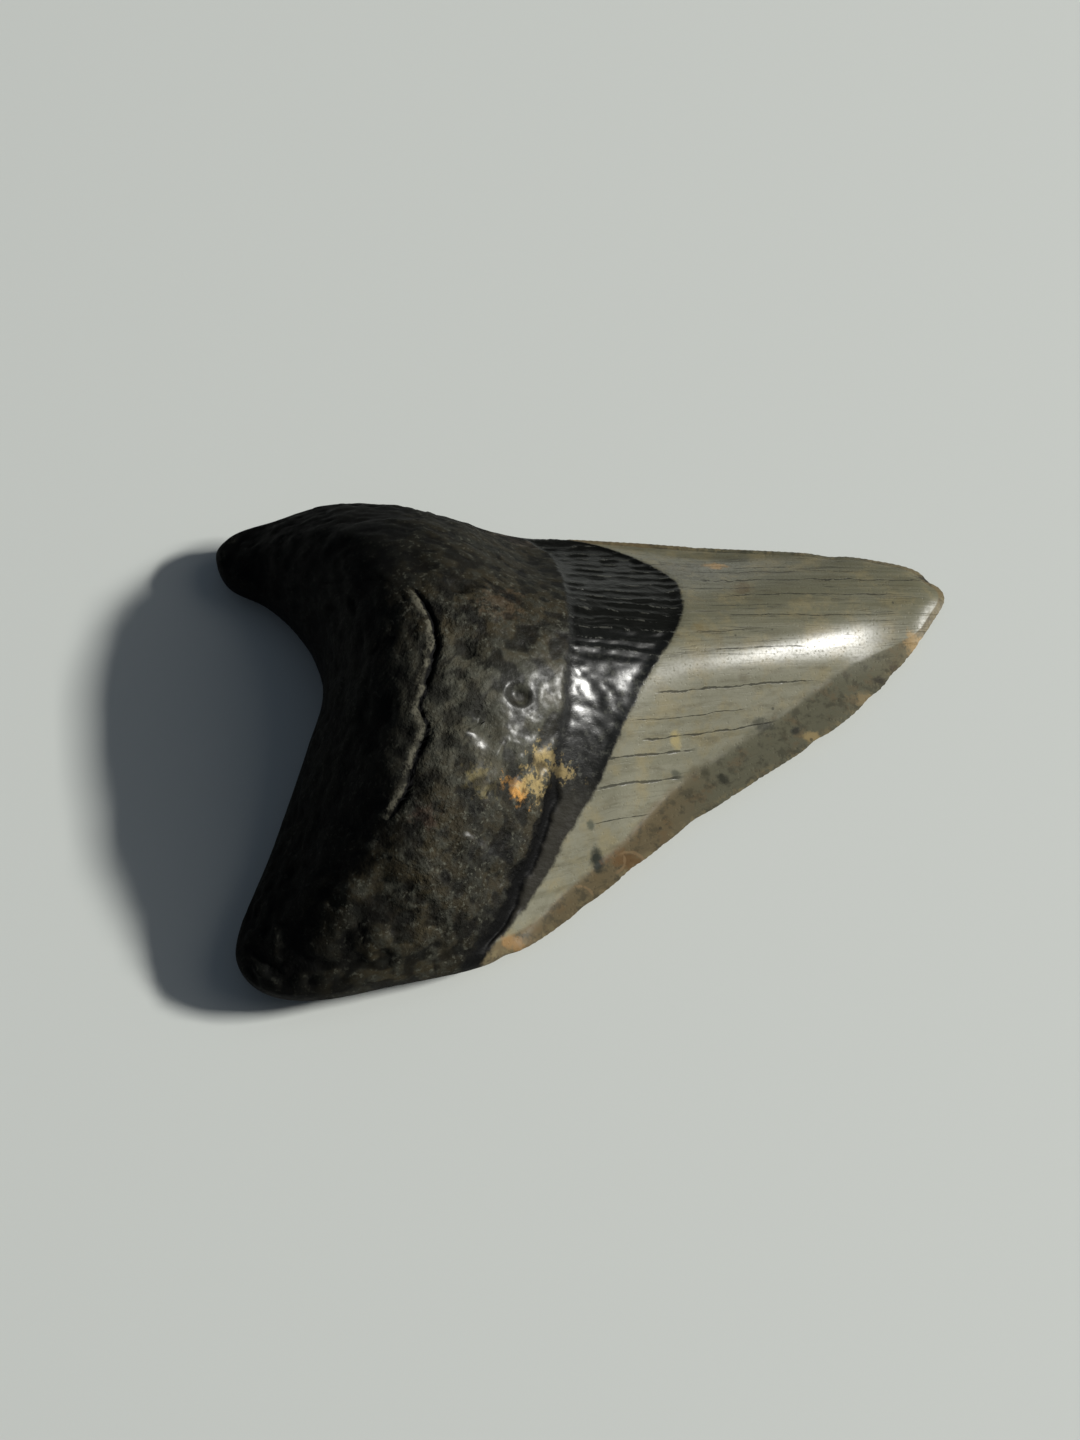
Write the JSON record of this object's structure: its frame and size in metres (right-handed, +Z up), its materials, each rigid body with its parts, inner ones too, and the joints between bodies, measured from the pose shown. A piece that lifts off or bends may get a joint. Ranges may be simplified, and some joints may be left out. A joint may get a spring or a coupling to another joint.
{
  "type": "fossil megalodon tooth",
  "caption": "Fossil megalodon tooth with a dark two-lobed root, a sunken neck and a grey triangular enamel crown, lying flat.",
  "frame": {"origin": "centre of the tooth's box in plan, on the table plane that its labial face rests on", "axes": "+X from the root towards the crown's tip, +Y towards the distal side, +Z up out of the lingual face"},
  "size_m": [0.088, 0.062, 0.0214],
  "materials": {
    "fossil_tooth": "satin"
  },
  "bodies": {
    "root": {"tooth": "fossil_tooth"}
  },
  "joints": []
}
